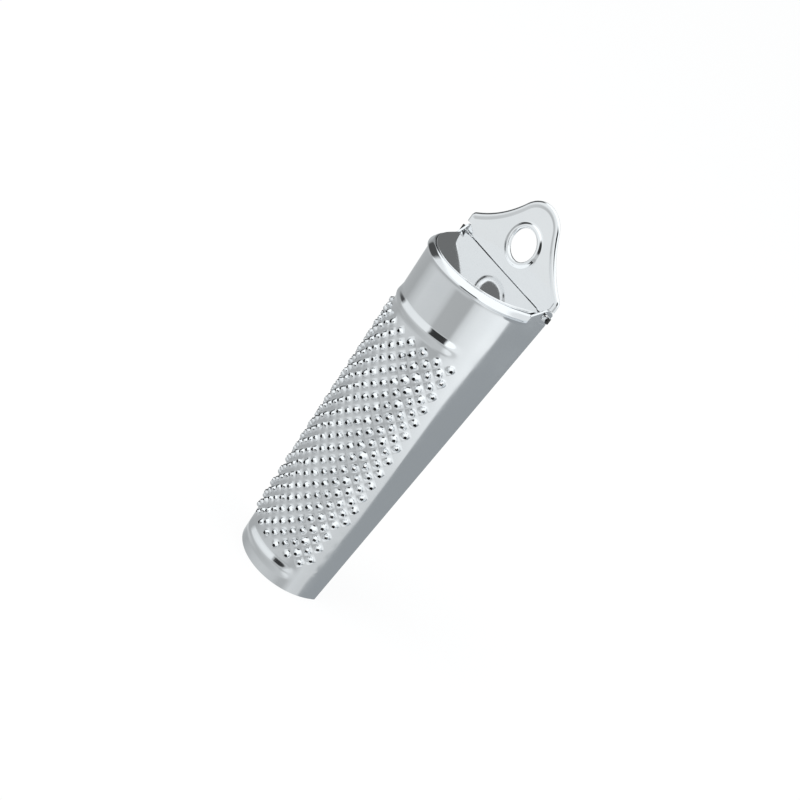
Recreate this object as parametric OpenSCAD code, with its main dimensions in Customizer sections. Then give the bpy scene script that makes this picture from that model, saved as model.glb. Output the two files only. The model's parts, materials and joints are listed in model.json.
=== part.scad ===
// Nutmeg grater of polished sheet steel: an arched rasp body with a lidded
// compartment at its top. The nose of the arch looks along -Y, the flat back
// along +Y, and the body stands on its foot edge at z = 0. Sizes in mm.

/* [Body] */
// Outside radius of the arched nose at the rim
rim_r = 19; // [18:0.5:21]
// Outside radius of the arched nose at the foot
foot_r = 18; // [16.5:0.5:19]
// Height of the sheet from the foot to the rolled rim
body_h = 115.5; // [112:0.5:122]
// Thickness of the body sheet
sheet_t = 0.7; // [0.5:0.05:0.8]
// Angle by which each flat side wall opens towards the back
flank_angle = 12; // [8:1:15]
// Distance of the back edges in front of the nose axis, at the foot
back_foot = 2.3; // [1.5:0.1:3]
// Distance of the back edges behind the nose axis, at the rim
back_rim = 7.7; // [6.5:0.1:9]

/* [Rim and beads] */
// Radius of the rolled rim
roll_r = 0.85; // [0.6:0.05:1]
// Depth by which the roll bites into the top of the sheet
roll_sink = 0.15; // [0.1:0.05:0.3]
// Distance of the roll's middle inside the outer face
roll_in = 0.1; // [0:0.05:0.3]
// Distance from the rim down to the middle of the upper bead
top_bead_drop = 16.6; // [14:0.1:17]
// Half width of the upper bead
top_bead_w = 1.1; // [0.9:0.05:1.3]
// Height of the upper bead above the sheet
top_bead_h = 0.75; // [0.6:0.05:0.8]
// Reach of the upper bead to each side of the nose, in degrees
top_bead_angle = 56; // [40:1:60]
// Height of the middle of the foot bead
foot_bead_z = 5.4; // [4:0.1:7]
// Half width of the foot bead
foot_bead_w = 1.4; // [1.1:0.05:1.6]
// Height of the foot bead above the sheet
foot_bead_h = 0.7; // [0.6:0.05:0.8]
// Reach of the foot bead to each side of the nose, in degrees
foot_bead_angle = 42; // [30:1:60]

/* [Rasp teeth] */
// Distance between teeth of one column
tooth_pitch = 5; // [4.8:0.05:5]
// Distance between teeth of one row, along the arch
tooth_gap = 4.7; // [4.5:0.1:5]
// Height above the foot that the lowest teeth keep to
tooth_low = 14.5; // [12.5:0.1:20]
// Number of half steps from the middle column to the outermost one
tooth_steps = 8; // [4:1:8]
// Distance from the upper bead down to the top row
tooth_drop = 6.5; // [6:0.1:8]
// Radius of a tooth where it leaves the sheet
tooth_base_r = 1.4; // [1.1:0.05:1.5]
// Radius of a tooth at its torn tip
tooth_tip_r = 0.8; // [0.7:0.05:1]
// Height of a tooth above the sheet
tooth_h = 1; // [0.6:0.05:1.3]
// Half diagonal of the square hole pierced by the punch
tooth_hole_r = 0.6; // [0.4:0.05:0.65]
// Half width of the toothed field at the foot, along the arch
field_foot = 16.6; // [15:0.1:17]
// Widening of the toothed field for each mm of height
field_rise = 0.07; // [0.06:0.005:0.08]

/* [Hinge] */
// Distance of the hinge inside the back edges
pivot_inset = 1.9; // [1.7:0.1:2.2]
// Radius of the rounded ears
ear_r = 2.4; // [2.3:0.1:2.8]
// Radius of the hole in each ear
ear_hole_r = 1.15; // [0.9:0.05:1.3]
// Radial clearance of the lugs in the ears
hinge_clearance = 0.06; // [0.02:0.01:0.1]
// Thickness of the flattened lugs
lug_t = 1.2; // [0.8:0.1:1.4]
// Length of a lug that shows outside its ear
lug_out = 2.8; // [2:0.1:3.2]
// Length of a lug that is pressed into the fold inside its ear
lug_root = 3; // [2:0.1:4]
// Distance from the hinge to the front of each ear
ear_front = 4.7; // [4.2:0.1:5.4]

/* [Lid and hanging tab] */
// Thickness of the lid sheet
lid_t = 0.7; // [0.5:0.05:0.8]
// Clearance round the closed lid
lid_gap = 0.2; // [0.15:0.05:0.4]
// Backward lean of the hanging tab from upright, in degrees
tab_lean = 2; // [0.5:0.5:5]
// Distance of the tab's shoulders outside the outer faces of the ears
tab_over = 1.3; // [0.8:0.1:1.6]
// Height of the fold, from the hinge up to the seam with the tab
fold_h = 1.5; // [1.2:0.1:2]
// Height of the middle of the tab's round shoulders above the hinge
shoulder_h = 4.6; // [4.4:0.1:5]
// Radius of the tab's round shoulders
shoulder_r = 2.2; // [2:0.1:2.5]
// Radius of the tab's hollow flanks
flank_r = 37.5; // [34:0.5:42]
// Height of the middle of the tab's round top above the hinge
tab_top_h = 15; // [14.5:0.1:15.6]
// Radius of the tab's round top
tab_top_r = 9; // [8.6:0.1:9.4]
// Width of the folded hem round the tab
hem_w = 1.7; // [1.2:0.1:1.8]
// Thickness that the folded hem adds
hem_t = 0.5; // [0.3:0.05:0.7]
// Radius of the hanging hole
hang_r = 5; // [4.6:0.05:5.2]
// Height of the hanging hole above the hinge
hang_h = 10.1; // [9.8:0.1:10.6]
// Width of the raised ring round the hanging hole
ring_w = 1.8; // [1.4:0.1:1.9]
// Height of the raised ring above the sheet
ring_h = 0.8; // [0.5:0.05:1]

/* [Compartment] */
// Distance from the upper bead down to the top of the compartment floor
floor_drop = 0.4; // [0.2:0.1:1]
// Thickness of the floor and of the back plate
inner_t = 0.7; // [0.5:0.05:0.8]
// Depth of the floor's turned-down skirt
skirt_h = 2.8; // [2:0.1:3]
// Distance of the back plate inside the back edges
plate_inset = 0.4; // [0.3:0.05:0.8]
// Distance from the hinge down to the top of the back plate
plate_drop = 1.8; // [1.6:0.1:2.5]
// Depth of the back plate below the floor
plate_below = 3; // [2.9:0.1:4]
// Seam between pieces that are soldered or formed together
seam = 0.02; // [0.01:0.01:0.04]

/* [Hidden] */
$fn = 96;
steel = [0.77, 0.78, 0.79];
inner_steel = [0.68, 0.69, 0.71];
// larger than the object in every direction
big = 400;
// angle at which an ear's sloping front meets its round top
ear_slope = 35;

top_bead_z = body_h - top_bead_drop;
tooth_top = top_bead_z - tooth_drop;
tooth_rows = floor((tooth_top - tooth_low) / tooth_pitch + 0.5);
floor_z = top_bead_z - top_bead_w - floor_drop;
cone_angle = atan((rim_r - foot_r) / body_h);
back_angle = atan((back_foot + back_rim) / body_h);
wall_radial = sheet_t / cos(cone_angle);
roll_z = body_h + roll_r - roll_sink;
roll_mid_r = rim_r - roll_in;
lid_z = roll_z + roll_r + lid_gap;
pivot_z = lid_z + lid_t / 2;
pivot_y = back_y(pivot_z) - pivot_inset;
lug_r = ear_hole_r - hinge_clearance;
ear_start_y = pivot_y - ear_front;
ear_clear_h = ear_r + 2 * lid_gap;
// outer and inner faces of the ears at the hinge
ear_x = wall_x(nose_r(pivot_z), pivot_y);
ear_inner = wall_x(nose_r(pivot_z) - sheet_t - lid_gap, pivot_y);
tab_half = ear_x + tab_over;
// a tooth's flat root sinks twice the height of the arc that it spans
tooth_root = 2 * (foot_r - sqrt(pow(foot_r, 2) - pow(tooth_base_r, 2)));
front_reach = max(roll_mid_r + roll_r, nose_r(tooth_top) + tooth_h, nose_r(top_bead_z) + top_bead_h);
// height above the hinge at which an ear's round top meets the plane of the back edges
ear_tilt = tan(back_angle) / cos(flank_angle);
ear_depth = pivot_inset / cos(flank_angle) - sheet_t * tan(flank_angle);
ear_rise = (sqrt(pow(ear_r, 2) * (1 + pow(ear_tilt, 2)) - pow(ear_depth, 2)) - ear_depth * ear_tilt)
    / (1 + pow(ear_tilt, 2));
tab_reach = pivot_y + (tab_top_h + tab_top_r) * sin(tab_lean) + lid_t / 2 * cos(tab_lean);
back_reach = max(back_y(pivot_z + ear_rise), tab_reach);
axis_y = (front_reach - back_reach) / 2;
// middles of the tab's round top and right shoulder, and of the hollow flank that touches both
top_mid = [0, tab_top_h];
shoulder_mid = [tab_half - shoulder_r, shoulder_h];
mid_gap = norm(top_mid - shoulder_mid);
mid_way = (top_mid - shoulder_mid) / mid_gap;
flank_along = (pow(shoulder_r + flank_r, 2) - pow(tab_top_r + flank_r, 2) + pow(mid_gap, 2)) / (2 * mid_gap);
flank_off = sqrt(pow(shoulder_r + flank_r, 2) - pow(flank_along, 2));
flank_mid = shoulder_mid + flank_along * mid_way + flank_off * [mid_way[1], -mid_way[0]];

function nose_r(z) = foot_r + z * tan(cone_angle);
function back_y(z) = z * tan(back_angle) - back_foot;
// half width of the side walls' outer faces at depth y, for a nose of radius r
function wall_x(r, y) = r * cos(flank_angle) + (y + r * sin(flank_angle)) * tan(flank_angle);
// distance along a side wall from its tangent line to depth y, at height z
function along_wall(y, z) = (y + nose_r(z) * sin(flank_angle)) / cos(flank_angle);

// moves from the nose axis to the middle of the whole object
module placed() {
    translate([0, axis_y, 0]) children();
}

// local X points out of the right side wall, Y along it to the back, Z up
module on_flank() {
    rotate([0, 0, -flank_angle]) translate([foot_r, 0, 0]) rotate([0, cone_angle, 0]) children();
}

module both_sides() {
    children();
    mirror([1, 0, 0]) children();
}

// everything behind the plane that lies inset inside the back edges
module behind(inset) {
    translate([0, -back_foot, 0]) rotate([-back_angle, 0, 0])
        translate([-big / 2, -inset, -big / 2]) cube(big);
}

// a turned section kept to the given angle on each side of the nose
module nose_arc(reach) {
    rotate([0, 0, 270 - reach]) rotate_extrude(angle = 2 * reach) children();
}

// plan of the arch with nose radius r, closed at depth back
module arch_plan(r, back) {
    circle(r);
    polygon([
        [r * cos(flank_angle), -r * sin(flank_angle)],
        [wall_x(r, back), back],
        [-wall_x(r, back), back],
        [-r * cos(flank_angle), -r * sin(flank_angle)]
    ]);
}

// the space inside the sheet, between heights low and high
module inside(low, high, inset) {
    intersection() {
        union() {
            cylinder(h = big, r1 = foot_r - wall_radial - inset,
                r2 = nose_r(big) - wall_radial - inset);
            intersection_for(side = [0, 1])
                mirror([side, 0, 0]) on_flank()
                    translate([-sheet_t - inset - big, 0, -big / 2]) cube(big);
        }
        translate([-big / 2, -big / 2, low]) cube([big, big, high - low]);
    }
}

// section through the plain sheet, from the nose axis outward
module sheet_section() {
    polygon([
        [foot_r - wall_radial, 0],
        [foot_r, 0],
        [rim_r, body_h],
        [rim_r - wall_radial, body_h]
    ]);
}

// the same section with its edge rolled outward
module rolled_section() {
    sheet_section();
    translate([roll_mid_r, roll_z]) circle(roll_r);
}

// the round nose and both side walls, rolled as far as the ears and longer than the back edges need
module arch_sheet() {
    wall_len = along_wall(back_rim, body_h) + roll_r;
    roll_len = along_wall(ear_start_y, body_h);
    nose_arc(90 - flank_angle) rolled_section();
    both_sides() rotate([0, 0, -flank_angle]) {
        translate([0, roll_len, 0]) rotate([90, 0, 0]) linear_extrude(roll_len) rolled_section();
        translate([0, wall_len, 0]) rotate([90, 0, 0]) linear_extrude(wall_len - roll_len) sheet_section();
    }
}

// the hinge ear that stands up from inside the right side wall, behind the end of the roll
module ear() {
    ear_y = along_wall(pivot_y, pivot_z);
    ear_z = pivot_z / cos(cone_angle);
    start_y = along_wall(ear_start_y, body_h) - roll_r / 2;
    low_z = body_h / cos(cone_angle) - ear_r;
    on_flank() rotate([90, 0, 90]) translate([0, 0, seam - sheet_t]) linear_extrude(sheet_t - 2 * seam) {
        translate([ear_y, ear_z]) circle(ear_r);
        polygon([
            [start_y, low_z + ear_r],
            [ear_y - ear_r * cos(ear_slope), ear_z + ear_r * sin(ear_slope)],
            [ear_y, ear_z],
            [ear_y + ear_r, ear_z],
            [ear_y + ear_r, low_z],
            [start_y, low_z]
        ]);
    }
}

// radius of the arc that bulges by h over a half width of w
function bulge_r(w, h) = (w * w + h * h) / (2 * h);

// the outward bulge of a pressed bead, from the middle of the sheet
module bead(z, w, h, reach) {
    r = bulge_r(w, h);
    nose_arc(reach) intersection() {
        translate([nose_r(z) + h - r, z]) circle(r);
        translate([nose_r(z) - sheet_t / 2, z - r]) square(2 * r);
    }
}

// the groove that the bead leaves inside the sheet
module bead_groove(z, w, h, reach) {
    r = bulge_r(w, h);
    nose_arc(reach) translate([nose_r(z) + h - r, z]) circle(r - sheet_t);
}

// places a child at every tooth, pointing out of the sheet
module at_teeth() {
    for (step = [-tooth_steps : tooth_steps], row = [0 : tooth_rows - 1]) {
        z = tooth_top - (row + (step % 2 == 0 ? 0 : 0.5)) * tooth_pitch;
        along = step * tooth_gap / 2;
        if (abs(along) <= field_foot + field_rise * z)
            rotate([0, 0, along / nose_r(z) * 180 / PI])
                translate([0, -nose_r(z), z]) rotate([90, 0, 0]) children();
    }
}

// body: one pressed and pierced sheet
module grater_body() {
    color(steel) placed() difference() {
        union() {
            arch_sheet();
            both_sides() ear();
            bead(top_bead_z, top_bead_w, top_bead_h, top_bead_angle);
            bead(foot_bead_z, foot_bead_w, foot_bead_h, foot_bead_angle);
            at_teeth() translate([0, 0, -tooth_root])
                cylinder(h = tooth_h + tooth_root, r1 = tooth_base_r, r2 = tooth_tip_r);
        }
        at_teeth() translate([0, 0, -2 * sheet_t])
            cylinder(h = tooth_h + 3 * sheet_t, r = tooth_hole_r, $fn = 4);
        bead_groove(top_bead_z, top_bead_w, top_bead_h, top_bead_angle);
        bead_groove(foot_bead_z, foot_bead_w, foot_bead_h, foot_bead_angle);
        behind(0);
        translate([-big / 2, -big / 2, -big]) cube(big);
        translate([-big / 2, pivot_y, pivot_z]) rotate([0, 90, 0]) cylinder(h = big, r = ear_hole_r);
    }
}

// plate that closes the back of the compartment, soldered between the side walls
module back_plate() {
    color(inner_steel) placed() intersection() {
        inside(floor_z - plate_below, pivot_z - plate_drop, seam);
        difference() {
            behind(plate_inset + inner_t);
            behind(plate_inset);
        }
    }
}

// floor of the compartment: a shallow tray pushed in upside down
module compartment_floor() {
    color(inner_steel) placed() difference() {
        inside(floor_z - skirt_h, floor_z, seam);
        inside(floor_z - 2 * skirt_h, floor_z - inner_t, seam + inner_t);
        behind(plate_inset + inner_t + seam);
    }
}

// local XY is the plane of the hanging tab, with its front up and the hinge along X
module in_tab_plane() {
    placed() translate([0, pivot_y, pivot_z]) rotate([90 - tab_lean, 0, 0]) children();
}

// lid: a plate over the mouth, folded up at the hinge, with a lug at each end of the fold
module lid() {
    color(steel) {
        placed() translate([0, 0, lid_z]) linear_extrude(lid_t) {
            intersection() {
                arch_plan(rim_r, pivot_y);
                translate([-big / 2, -big]) square([big, big + ear_start_y - lid_gap - roll_r]);
            }
            intersection() {
                arch_plan(nose_r(pivot_z) - sheet_t - lid_gap, pivot_y);
                translate([-big / 2, -rim_r]) square([big, rim_r + pivot_y]);
            }
        }
        in_tab_plane() {
            rotate([0, 90, 0]) cylinder(h = 2 * ear_inner, r = lid_t / 2, center = true);
            translate([-ear_inner, 0, -lid_t / 2]) cube([2 * ear_inner, fold_h, lid_t]);
            both_sides() translate([ear_inner - lug_root, 0, 0]) lug();
        }
    }
}

// a round end of the fold, pressed flat on both sides
module lug() {
    lug_len = lug_root + ear_x - ear_inner + lug_out;
    intersection() {
        rotate([0, 90, 0]) cylinder(h = lug_len, r = lug_r);
        translate([0, -2 * lug_r, -lug_t / 2]) cube([lug_len, 4 * lug_r, lug_t]);
    }
}

// where the hollow right flank, drawn inside the edge by inset, leaves the circle about mid
function flank_end(mid, r, inset) = mid + (flank_mid - mid) * (r - inset) / (r + flank_r);

// outline of the hanging tab, drawn inside its edge by the given inset
module tab_outline(inset) {
    side = tab_half - inset;
    low_end = flank_end(shoulder_mid, shoulder_r, inset);
    high_end = flank_end(top_mid, tab_top_r, inset);
    difference() {
        polygon([
            [-side, 0], [side, 0], [side, shoulder_h], low_end, high_end,
            [-high_end[0], high_end[1]], [-low_end[0], low_end[1]], [-side, shoulder_h]
        ]);
        both_sides() translate(flank_mid) circle(flank_r + inset);
    }
    both_sides() translate(shoulder_mid) circle(shoulder_r - inset);
    translate(top_mid) circle(tab_top_r - inset);
}

// everything of the tab's plane above the given height
module above(low) {
    translate([-big / 2, low]) square(big);
}

// hanging tab: the rest of the lid's sheet, with a hemmed edge and a ringed hole
module hanging_tab() {
    color(steel) in_tab_plane() difference() {
        union() {
            translate([0, 0, -lid_t / 2]) linear_extrude(lid_t) difference() {
                intersection() {
                    tab_outline(0);
                    above(fold_h + seam);
                }
                for (side = [-1, 1]) translate([side * (ear_inner + tab_half), 0])
                    square([2 * tab_half, 2 * ear_clear_h], center = true);
            }
            translate([0, 0, lid_t / 2]) linear_extrude(hem_t) intersection() {
                difference() {
                    tab_outline(0);
                    tab_outline(hem_w);
                }
                above(ear_clear_h);
            }
            translate([0, hang_h, lid_t / 2]) rotate_extrude() ring_section();
        }
        translate([0, hang_h, 0]) cylinder(h = big, r = hang_r, center = true);
    }
}

// half section of the raised ring, rounded off on its outside
module ring_section() {
    translate([hang_r, 0]) square([ring_w - ring_h, ring_h]);
    intersection() {
        translate([hang_r + ring_w - ring_h, 0]) circle(ring_h);
        translate([hang_r, 0]) square(ring_w);
    }
}

grater_body();
back_plate();
compartment_floor();
lid();
hanging_tab();
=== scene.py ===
"""A nutmeg grater: an arched rasp of polished steel sheet with a lidded compartment at its top."""

import json
import math

import bpy
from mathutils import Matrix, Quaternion, Vector
from mathutils.geometry import tessellate_polygon

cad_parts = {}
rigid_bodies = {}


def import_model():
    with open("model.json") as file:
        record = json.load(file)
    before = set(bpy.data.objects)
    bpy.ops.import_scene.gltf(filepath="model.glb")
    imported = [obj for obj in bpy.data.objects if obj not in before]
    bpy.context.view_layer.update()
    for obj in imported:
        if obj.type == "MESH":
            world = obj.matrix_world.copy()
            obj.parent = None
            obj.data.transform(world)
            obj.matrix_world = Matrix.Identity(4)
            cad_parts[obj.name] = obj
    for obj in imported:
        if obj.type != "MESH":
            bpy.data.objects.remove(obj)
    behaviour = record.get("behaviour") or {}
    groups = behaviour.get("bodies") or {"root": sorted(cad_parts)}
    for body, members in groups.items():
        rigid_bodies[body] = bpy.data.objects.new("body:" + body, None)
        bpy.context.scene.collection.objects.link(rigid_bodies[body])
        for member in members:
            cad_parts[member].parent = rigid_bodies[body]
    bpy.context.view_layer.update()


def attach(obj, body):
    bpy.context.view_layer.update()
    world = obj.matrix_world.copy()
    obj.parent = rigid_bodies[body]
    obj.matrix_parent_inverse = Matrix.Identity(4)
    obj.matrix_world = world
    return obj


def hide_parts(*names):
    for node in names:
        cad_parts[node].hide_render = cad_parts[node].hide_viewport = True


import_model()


# The body is one sheet of stainless steel. Its teeth are punched while it lies flat, its beads and rim
# are rolled, and then it is bent round a nose into an arch with two flat side walls and polished. The
# mesh is made in that order: a flat sheet, the teeth by Geometry Nodes, and the bend.
def add_math(tree, operation, first, second):
    """A Math node whose two inputs are wired or set, and its result."""
    node = tree.nodes.new("ShaderNodeMath")
    node.operation = operation
    for socket, value in zip(node.inputs, (first, second)):
        if isinstance(value, float):
            socket.default_value = value
        else:
            tree.links.new(value, socket)
    return node.outputs["Value"]


def make_wheel_polish():
    """What a soft polishing wheel leaves: fine drawn grain, broad shallow waves and faint smears."""
    grain_depth, wave_depth, smear_least, smear_most = 0.000004, 0.00012, 0.35, 0.7
    group = bpy.data.node_groups.new("wheel_polish", "ShaderNodeTree")
    usual = {"Roughness Low": 0.1, "Roughness High": 0.2, "Grain": 1.0, "Waves": 1.0}
    for name, value in usual.items():
        socket = group.interface.new_socket(name, in_out="INPUT", socket_type="NodeSocketFloat")
        socket.default_value = value
    for name in ("Roughness", "Height", "Smear"):
        group.interface.new_socket(name, in_out="OUTPUT", socket_type="NodeSocketFloat")
    nodes, links = group.nodes, group.links
    given = nodes.new("NodeGroupInput").outputs
    result = nodes.new("NodeGroupOutput").inputs
    place = nodes.new("ShaderNodeTexCoord")

    def noise(scale, detail, stretch):
        mapping = nodes.new("ShaderNodeMapping")
        mapping.inputs["Scale"].default_value = stretch
        links.new(place.outputs["Object"], mapping.inputs["Vector"])
        texture = nodes.new("ShaderNodeTexNoise")
        texture.inputs["Scale"].default_value = scale
        texture.inputs["Detail"].default_value = detail
        links.new(mapping.outputs["Vector"], texture.inputs["Vector"])
        return texture.outputs["Fac"]

    grain = noise(scale=2600.0, detail=2.0, stretch=(1.0, 1.0, 0.03))
    waves = noise(scale=70.0, detail=1.0, stretch=(1.0, 1.0, 0.6))
    smear = noise(scale=130.0, detail=4.0, stretch=(1.0, 1.0, 1.0))
    spread = nodes.new("ShaderNodeMapRange")
    spread.inputs["From Min"].default_value = smear_least
    spread.inputs["From Max"].default_value = smear_most
    links.new(smear, spread.inputs["Value"])
    links.new(given["Roughness Low"], spread.inputs["To Min"])
    links.new(given["Roughness High"], spread.inputs["To Max"])
    links.new(spread.outputs["Result"], result["Roughness"])
    fine = add_math(group, "MULTIPLY", add_math(group, "MULTIPLY", grain, given["Grain"]), grain_depth)
    broad = add_math(group, "MULTIPLY", add_math(group, "MULTIPLY", waves, given["Waves"]), wave_depth)
    links.new(add_math(group, "ADD", fine, broad), result["Height"])
    links.new(smear, result["Smear"])
    return group


wheel_polish = make_wheel_polish()


def make_steel(name, bright, dull, roughness, grain, waves):
    """A steel finish: its colour where it is clean and where it is smeared, and its polish."""
    material = bpy.data.materials.new(name)
    material.use_nodes = True
    nodes, links = material.node_tree.nodes, material.node_tree.links
    shader = nodes["Principled BSDF"]
    shader.inputs["Metallic"].default_value = 1.0
    polish = nodes.new("ShaderNodeGroup")
    polish.node_tree = wheel_polish
    least, most = roughness
    amounts = {"Roughness Low": least, "Roughness High": most, "Grain": grain, "Waves": waves}
    for socket, value in amounts.items():
        polish.inputs[socket].default_value = value
    tint = nodes.new("ShaderNodeMix")
    tint.data_type = "RGBA"
    tint.inputs["A"].default_value = (*bright, 1.0)
    tint.inputs["B"].default_value = (*dull, 1.0)
    links.new(polish.outputs["Smear"], tint.inputs["Factor"])
    links.new(tint.outputs["Result"], shader.inputs["Base Color"])
    links.new(polish.outputs["Roughness"], shader.inputs["Roughness"])
    bump = nodes.new("ShaderNodeBump")
    bump.inputs["Distance"].default_value = 1.0
    links.new(polish.outputs["Height"], bump.inputs["Height"])
    links.new(bump.outputs["Normal"], shader.inputs["Normal"])
    return material


body_steel = make_steel(
    "polished_steel",
    bright=(0.86, 0.87, 0.88), dull=(0.81, 0.825, 0.84), roughness=(0.07, 0.12), grain=1.0, waves=0.6,
)
# Painted shade: a near-black steel stands in for the shade on the walls inside the punched holes and on the
# ends of the lid's lugs
painted_shade_steel = make_steel(
    "painted_shade_steel",
    bright=(0.1, 0.1, 0.1), dull=(0.05, 0.05, 0.05), roughness=(0.35, 0.5), grain=2.0, waves=1.0,
)

# sizes in millimetres: u runs along the flat sheet from the middle of the nose, z up, h out of the sheet
MM = 0.001
sheet_t, body_h = 0.7, 115.5
foot_r, rim_r, axis_y = 18.0, 19.0, 5.897  # the nose's radius at both ends, and the depth of its axis
flank = math.radians(12.0)  # how far a side wall spreads towards the back
turn = math.pi / 2 - flank
back_foot, back_rim = 2.3, 7.7  # the back edges: before the axis at the foot, behind it at the rim
lip_z = 114.0  # where the rim starts to roll
pivot_y, pivot_z, ear_front = 5.982, 117.6, 4.7  # the hinge line, and where an ear starts before it
tooth_gap, tooth_pitch, tooth_top = 4.7, 5.04, 92.4
half_gap, half_pitch = tooth_gap / 2, tooth_pitch / 2
tooth_rows, tooth_steps = 17, 8
field_foot, field_rise = 16.6, 0.07  # half width of the toothed field at the foot, and its growth
cell_cuts = 3
# each bead: its top, crest and low edge, its rise, and how far round the nose it reaches in degrees
upper_bead = (100.3, 98.0, 95.3, 0.68, 56.0)
foot_bead = (8.9, 6.2, 3.2, 0.72, 46.0)


def nose_r(z):
    return foot_r + (rim_r - foot_r) * z / body_h


def back_y(z):
    return (back_foot + back_rim) * z / body_h - back_foot


def along_wall(y, z):
    """Distance along a side wall from its tangent line to depth y, at height z."""
    return (y + nose_r(z) * math.sin(flank)) / math.cos(flank)


def sheet_edge(z):
    """Half width of the flat sheet at height z."""
    return nose_r(z) * turn + along_wall(back_y(z), z)


def smooth_share(t):
    t = min(max(t, 0.0), 1.0)
    return t * t * (3 - 2 * t)


def bead_bulge(u, z):
    """How far the two pressed beads push the sheet out: steep above the crest, gentle below it."""
    overrun, fade_length = 0.8, 6.0
    out = 0.0
    for top, crest, low, rise, reach in (upper_bead, foot_bead):
        end = nose_r(crest) * math.radians(reach)
        fade = smooth_share((end + overrun - abs(u)) / fade_length)
        share = (top - z) / (top - crest) if z > crest else (z - low) / (crest - low)
        out = max(out, rise * fade * smooth_share(share))
    return out


class FlatSheet:
    """Points and faces of the flat sheet; points that fall together are made once."""

    def __init__(self):
        self.points, self.faces, self.known = [], [], {}

    def point(self, u, z, h):
        key = (round(u, 3), round(z, 3), round(h, 3))
        if key not in self.known:
            self.known[key] = len(self.points)
            self.points.append((u * MM, z * MM, h * MM))
        return self.known[key]

    def face(self, *corners, flip=False):
        ring = []
        for corner in corners:
            index = self.point(*corner)
            if index not in ring:
                ring.append(index)
        if len(ring) > 2:
            self.faces.append(ring[::-1] if flip else ring)

    def rows(self, columns, paths, flip=False):
        """Quads between neighbouring columns, each with its own path of (z, h) points."""
        strips = list(zip(columns, paths))
        for (u0, path0), (u1, path1) in zip(strips, strips[1:]):
            for (a, b), (c, d) in zip(zip(path0, path0[1:]), zip(path1, path1[1:])):
                self.face((u0(a[0]), *a), (u1(c[0]), *c), (u1(d[0]), *d), (u0(b[0]), *b), flip=flip)

    def triangle(self, a, b, c, flip):
        """A flat filling triangle of the tooth lattice, cut as its cells are, on both faces of the sheet."""
        n = cell_cuts

        def spot(i, j):
            return tuple(a[k] + (b[k] - a[k]) * i / n + (c[k] - a[k]) * j / n for k in (0, 1))

        for i in range(n):
            for j in range(n - i):
                pieces = [[spot(i, j), spot(i + 1, j), spot(i, j + 1)]]
                if i + j < n - 1:
                    pieces.append([spot(i + 1, j), spot(i + 1, j + 1), spot(i, j + 1)])
                for corners in pieces:
                    self.face(*[(*p, 0.0) for p in corners], flip=flip)
                    self.face(*[(*p, -sheet_t) for p in corners], flip=not flip)


def fill_lattice_borders(sheet):
    """Squares off the lattice of diamonds; gives its half width and its lowest and highest z."""
    top = tooth_top + half_pitch
    last = tooth_top - tooth_pitch * (tooth_rows - 1)
    low = last - half_pitch
    side = (tooth_steps + 1) * half_gap
    for step in range(-tooth_steps + 1, tooth_steps, 2):
        u = step * half_gap
        sheet.triangle((u - half_gap, top), (u, tooth_top), (u + half_gap, top), False)
        sheet.triangle((u - half_gap, low), (u + half_gap, low), (u, last), False)
    for sign in (-1, 1):
        edge, inner = sign * side, sign * (side - half_gap)
        sheet.triangle((edge, tooth_top), (inner, top), (edge, top), sign > 0)
        sheet.triangle((edge, low), (inner, low), (edge, last), sign > 0)
        for row in range(tooth_rows - 1):
            z = tooth_top - row * tooth_pitch
            sheet.triangle((edge, z - tooth_pitch), (inner, z - half_pitch), (edge, z), sign > 0)
    return side, low, top


def inset(loop, distance):
    """A closed loop moved to its left by a distance, as a chamfer or hem needs it."""
    moved = []
    for k, point in enumerate(loop):
        before, here, after = Vector(loop[k - 1]), Vector(point), Vector(loop[(k + 1) % len(loop)])
        a, b = (here - before).normalized(), (after - here).normalized()
        a, b = Vector((-a.y, a.x)), Vector((-b.y, b.x))
        moved.append(tuple(here + (a + b) * (distance / (1 + a.dot(b)))))
    return moved


def fill_flat(points, caps, upward):
    """Three-sided faces over a flat outline with holes."""
    order = [k for cap in caps for k in cap]
    outlines = [[Vector((points[k][0], points[k][1], 0)) for k in cap] for cap in caps]
    made = []
    for three in tessellate_polygon(outlines):
        a, b, c = (order[k] for k in three)
        (ax, ay), (bx, by), (cx, cy) = (points[k][:2] for k in (a, b, c))
        turned = (bx - ax) * (cy - ay) - (by - ay) * (cx - ax)
        made.append((a, b, c) if (turned > 0) == upward else (a, c, b))
    return made


def cut_plate(loops, low, high, edge):
    """Points and faces of a flat plate with rounded edges: an outline to the left, holes to the right."""
    shoulder = 1.6
    rounding = [(shoulder * edge, 0.0)]
    for angle in (0, 30, 60, 90):
        a = math.radians(angle)
        rounding.append((edge * (1 - math.sin(a)), edge * (1 - math.cos(a))))
    rings = [(i, high - d) for i, d in rounding] + [(i, low + d) for i, d in rounding[::-1]]
    points, faces, top, bottom = [], [], [], []
    for loop in loops:
        start, count = len(points), len(loop)
        for distance, height in rings:
            points += [(x, y, height) for x, y in inset(loop, distance)]
        for ring in range(len(rings) - 1):
            for k in range(count):
                a, b = start + ring * count + k, start + ring * count + (k + 1) % count
                faces.append((a, a + count, b + count, b))
        top.append(list(range(start, start + count)))
        bottom.append([k + (len(rings) - 1) * count for k in top[-1]])
    for caps, upward in ((top, True), (bottom, False)):
        faces += fill_flat(points, caps, upward)
    return points, faces


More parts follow.
